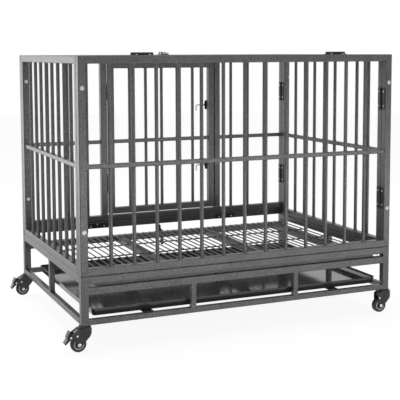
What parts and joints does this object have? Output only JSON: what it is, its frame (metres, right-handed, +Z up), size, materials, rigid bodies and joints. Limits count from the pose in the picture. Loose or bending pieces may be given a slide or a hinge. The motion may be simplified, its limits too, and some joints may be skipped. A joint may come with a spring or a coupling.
{
  "type": "dog cage",
  "caption": "Barred steel dog cage on a wheeled base, with a hinged side door, a hinged top lid, a wire floor and a slide-out waste tray.",
  "frame": {"origin": "on the floor, under the middle of the cage's four posts", "axes": "+X along the long side towards the right end, +Y from the plain barred front to the door side, +Z up"},
  "size_m": [0.9769, 0.6565, 0.757],
  "materials": {
    "hammer_grey": "hammered grey powder coat, semi-gloss",
    "black_steel": "black enamel, satin",
    "zinc": "bright zinc plate",
    "tray_black": "glossy black",
    "caster_black": "black, satin",
    "tread_black": "black rubber with a pale hub ring"
  },
  "bodies": {
    "cage": {"front_panel": "hammer_grey", "left_end_panel": "hammer_grey", "right_end_panel": "hammer_grey", "rear_panel": "hammer_grey", "base_frame": "hammer_grey", "floor_grate": "hammer_grey", "door_hinge_upper_jamb_leaf": "black_steel", "door_hinge_lower_jamb_leaf": "black_steel", "lid_hinge_left_rail_leaf": "black_steel", "lid_hinge_right_rail_leaf": "black_steel", "corner_hinge_front_left_upper": "black_steel", "corner_hinge_front_left_lower": "black_steel", "corner_hinge_front_right_upper": "black_steel", "corner_hinge_front_right_lower": "black_steel", "corner_hinge_rear_left_upper": "black_steel", "corner_hinge_rear_left_lower": "black_steel", "corner_hinge_rear_right_upper": "black_steel", "corner_hinge_rear_right_lower": "black_steel", "corner_bolt_front_left_upper": "zinc", "corner_bolt_front_left_lower": "zinc", "corner_bolt_front_right_upper": "zinc", "corner_bolt_front_right_lower": "zinc", "corner_bolt_rear_left_upper": "zinc", "corner_bolt_rear_left_lower": "zinc", "corner_bolt_rear_right_upper": "zinc", "corner_bolt_rear_right_lower": "zinc", "tray_runner_left": "black_steel", "tray_runner_right": "black_steel", "caster_front_left_mount": "caster_black", "caster_front_right_mount": "caster_black", "caster_rear_left_mount": "caster_black", "caster_rear_right_mount": "caster_black", "door_keeper_upper": "black_steel", "door_keeper_lower": "black_steel", "lid_keeper": "black_steel"},
    "door": {"door": "hammer_grey", "door_hinge_upper_door_leaf": "black_steel", "door_hinge_lower_door_leaf": "black_steel", "door_latch_upper_guide": "black_steel", "door_latch_lower_guide": "black_steel"},
    "door_upper_bolt": {"door_latch_upper_bolt": "zinc"},
    "door_lower_bolt": {"door_latch_lower_bolt": "zinc"},
    "lid": {"lid": "hammer_grey", "lid_hinge_left_lid_leaf": "black_steel", "lid_hinge_right_lid_leaf": "black_steel", "lid_latch_guide": "black_steel"},
    "lid_bolt": {"lid_latch_bolt": "zinc"},
    "tray": {"tray": "tray_black"},
    "grate_catch": {"grate_catch": "black_steel"},
    "front_left_swivel": {"caster_front_left_fork": "caster_black"},
    "front_right_swivel": {"caster_front_right_fork": "caster_black"},
    "rear_left_swivel": {"caster_rear_left_fork": "caster_black"},
    "rear_right_swivel": {"caster_rear_right_fork": "caster_black"},
    "front_left_wheel": {"caster_front_left_wheel": "tread_black"},
    "front_right_wheel": {"caster_front_right_wheel": "tread_black"},
    "rear_left_wheel": {"caster_rear_left_wheel": "tread_black"},
    "rear_right_wheel": {"caster_rear_right_wheel": "tread_black"},
    "front_left_pedal": {"caster_front_left_pedal": "caster_black"},
    "rear_left_pedal": {"caster_rear_left_pedal": "caster_black"}
  },
  "joints": [
    {"name": "door_hinge", "type": "hinge", "parent": "cage", "child": "door", "pos_m": [-0.1865, 0.3243, 0.4703], "axis": [0, 0, 1], "range_deg": [0, 170]},
    {"name": "door_upper_bolt_slide", "type": "slide", "parent": "door", "child": "door_upper_bolt", "axis": [1, 0, 0], "range_m": [0, 0.026]},
    {"name": "door_lower_bolt_slide", "type": "slide", "parent": "door", "child": "door_lower_bolt", "axis": [1, 0, 0], "range_m": [0, 0.026]},
    {"name": "lid_hinge", "type": "hinge", "parent": "cage", "child": "lid", "pos_m": [0, -0.2985, 0.7521], "axis": [1, 0, 0], "range_deg": [0, 175]},
    {"name": "lid_bolt_slide", "type": "slide", "parent": "lid", "child": "lid_bolt", "axis": [0, 1, 0], "range_m": [0, 0.026]},
    {"name": "tray_slide", "type": "slide", "parent": "cage", "child": "tray", "axis": [0, 1, 0], "range_m": [0, 0.45]},
    {"name": "grate_catch_pivot", "type": "hinge", "parent": "cage", "child": "grate_catch", "pos_m": [0, 0.32, 0.1545], "axis": [0, 1, 0], "range_deg": [-90, 90]},
    {"name": "front_left_swivel", "type": "hinge", "parent": "cage", "child": "front_left_swivel", "pos_m": [-0.4525, -0.31, 0.06], "axis": [0, 0, 1], "continuous": true},
    {"name": "front_right_swivel", "type": "hinge", "parent": "cage", "child": "front_right_swivel", "pos_m": [0.4525, -0.31, 0.06], "axis": [0, 0, 1], "continuous": true},
    {"name": "rear_left_swivel", "type": "hinge", "parent": "cage", "child": "rear_left_swivel", "pos_m": [-0.4525, 0.31, 0.06], "axis": [0, 0, 1], "continuous": true},
    {"name": "rear_right_swivel", "type": "hinge", "parent": "cage", "child": "rear_right_swivel", "pos_m": [0.4525, 0.31, 0.06], "axis": [0, 0, 1], "continuous": true},
    {"name": "front_left_wheel_spin", "type": "hinge", "parent": "front_left_swivel", "child": "front_left_wheel", "pos_m": [-0.4695, -0.31, 0.0205], "axis": [0, 1, 0], "continuous": true},
    {"name": "front_right_wheel_spin", "type": "hinge", "parent": "front_right_swivel", "child": "front_right_wheel", "pos_m": [0.4355, -0.31, 0.0205], "axis": [0, 1, 0], "continuous": true},
    {"name": "rear_left_wheel_spin", "type": "hinge", "parent": "rear_left_swivel", "child": "rear_left_wheel", "pos_m": [-0.4695, 0.31, 0.0205], "axis": [0, 1, 0], "continuous": true},
    {"name": "rear_right_wheel_spin", "type": "hinge", "parent": "rear_right_swivel", "child": "rear_right_wheel", "pos_m": [0.4355, 0.31, 0.0205], "axis": [0, 1, 0], "continuous": true},
    {"name": "front_left_pedal_pivot", "type": "hinge", "parent": "front_left_swivel", "child": "front_left_pedal", "pos_m": [-0.491, -0.31, 0.0415], "axis": [0, -1, 0], "range_deg": [0, 18]},
    {"name": "rear_left_pedal_pivot", "type": "hinge", "parent": "rear_left_swivel", "child": "rear_left_pedal", "pos_m": [-0.491, 0.31, 0.0415], "axis": [0, -1, 0], "range_deg": [0, 18]}
  ]
}
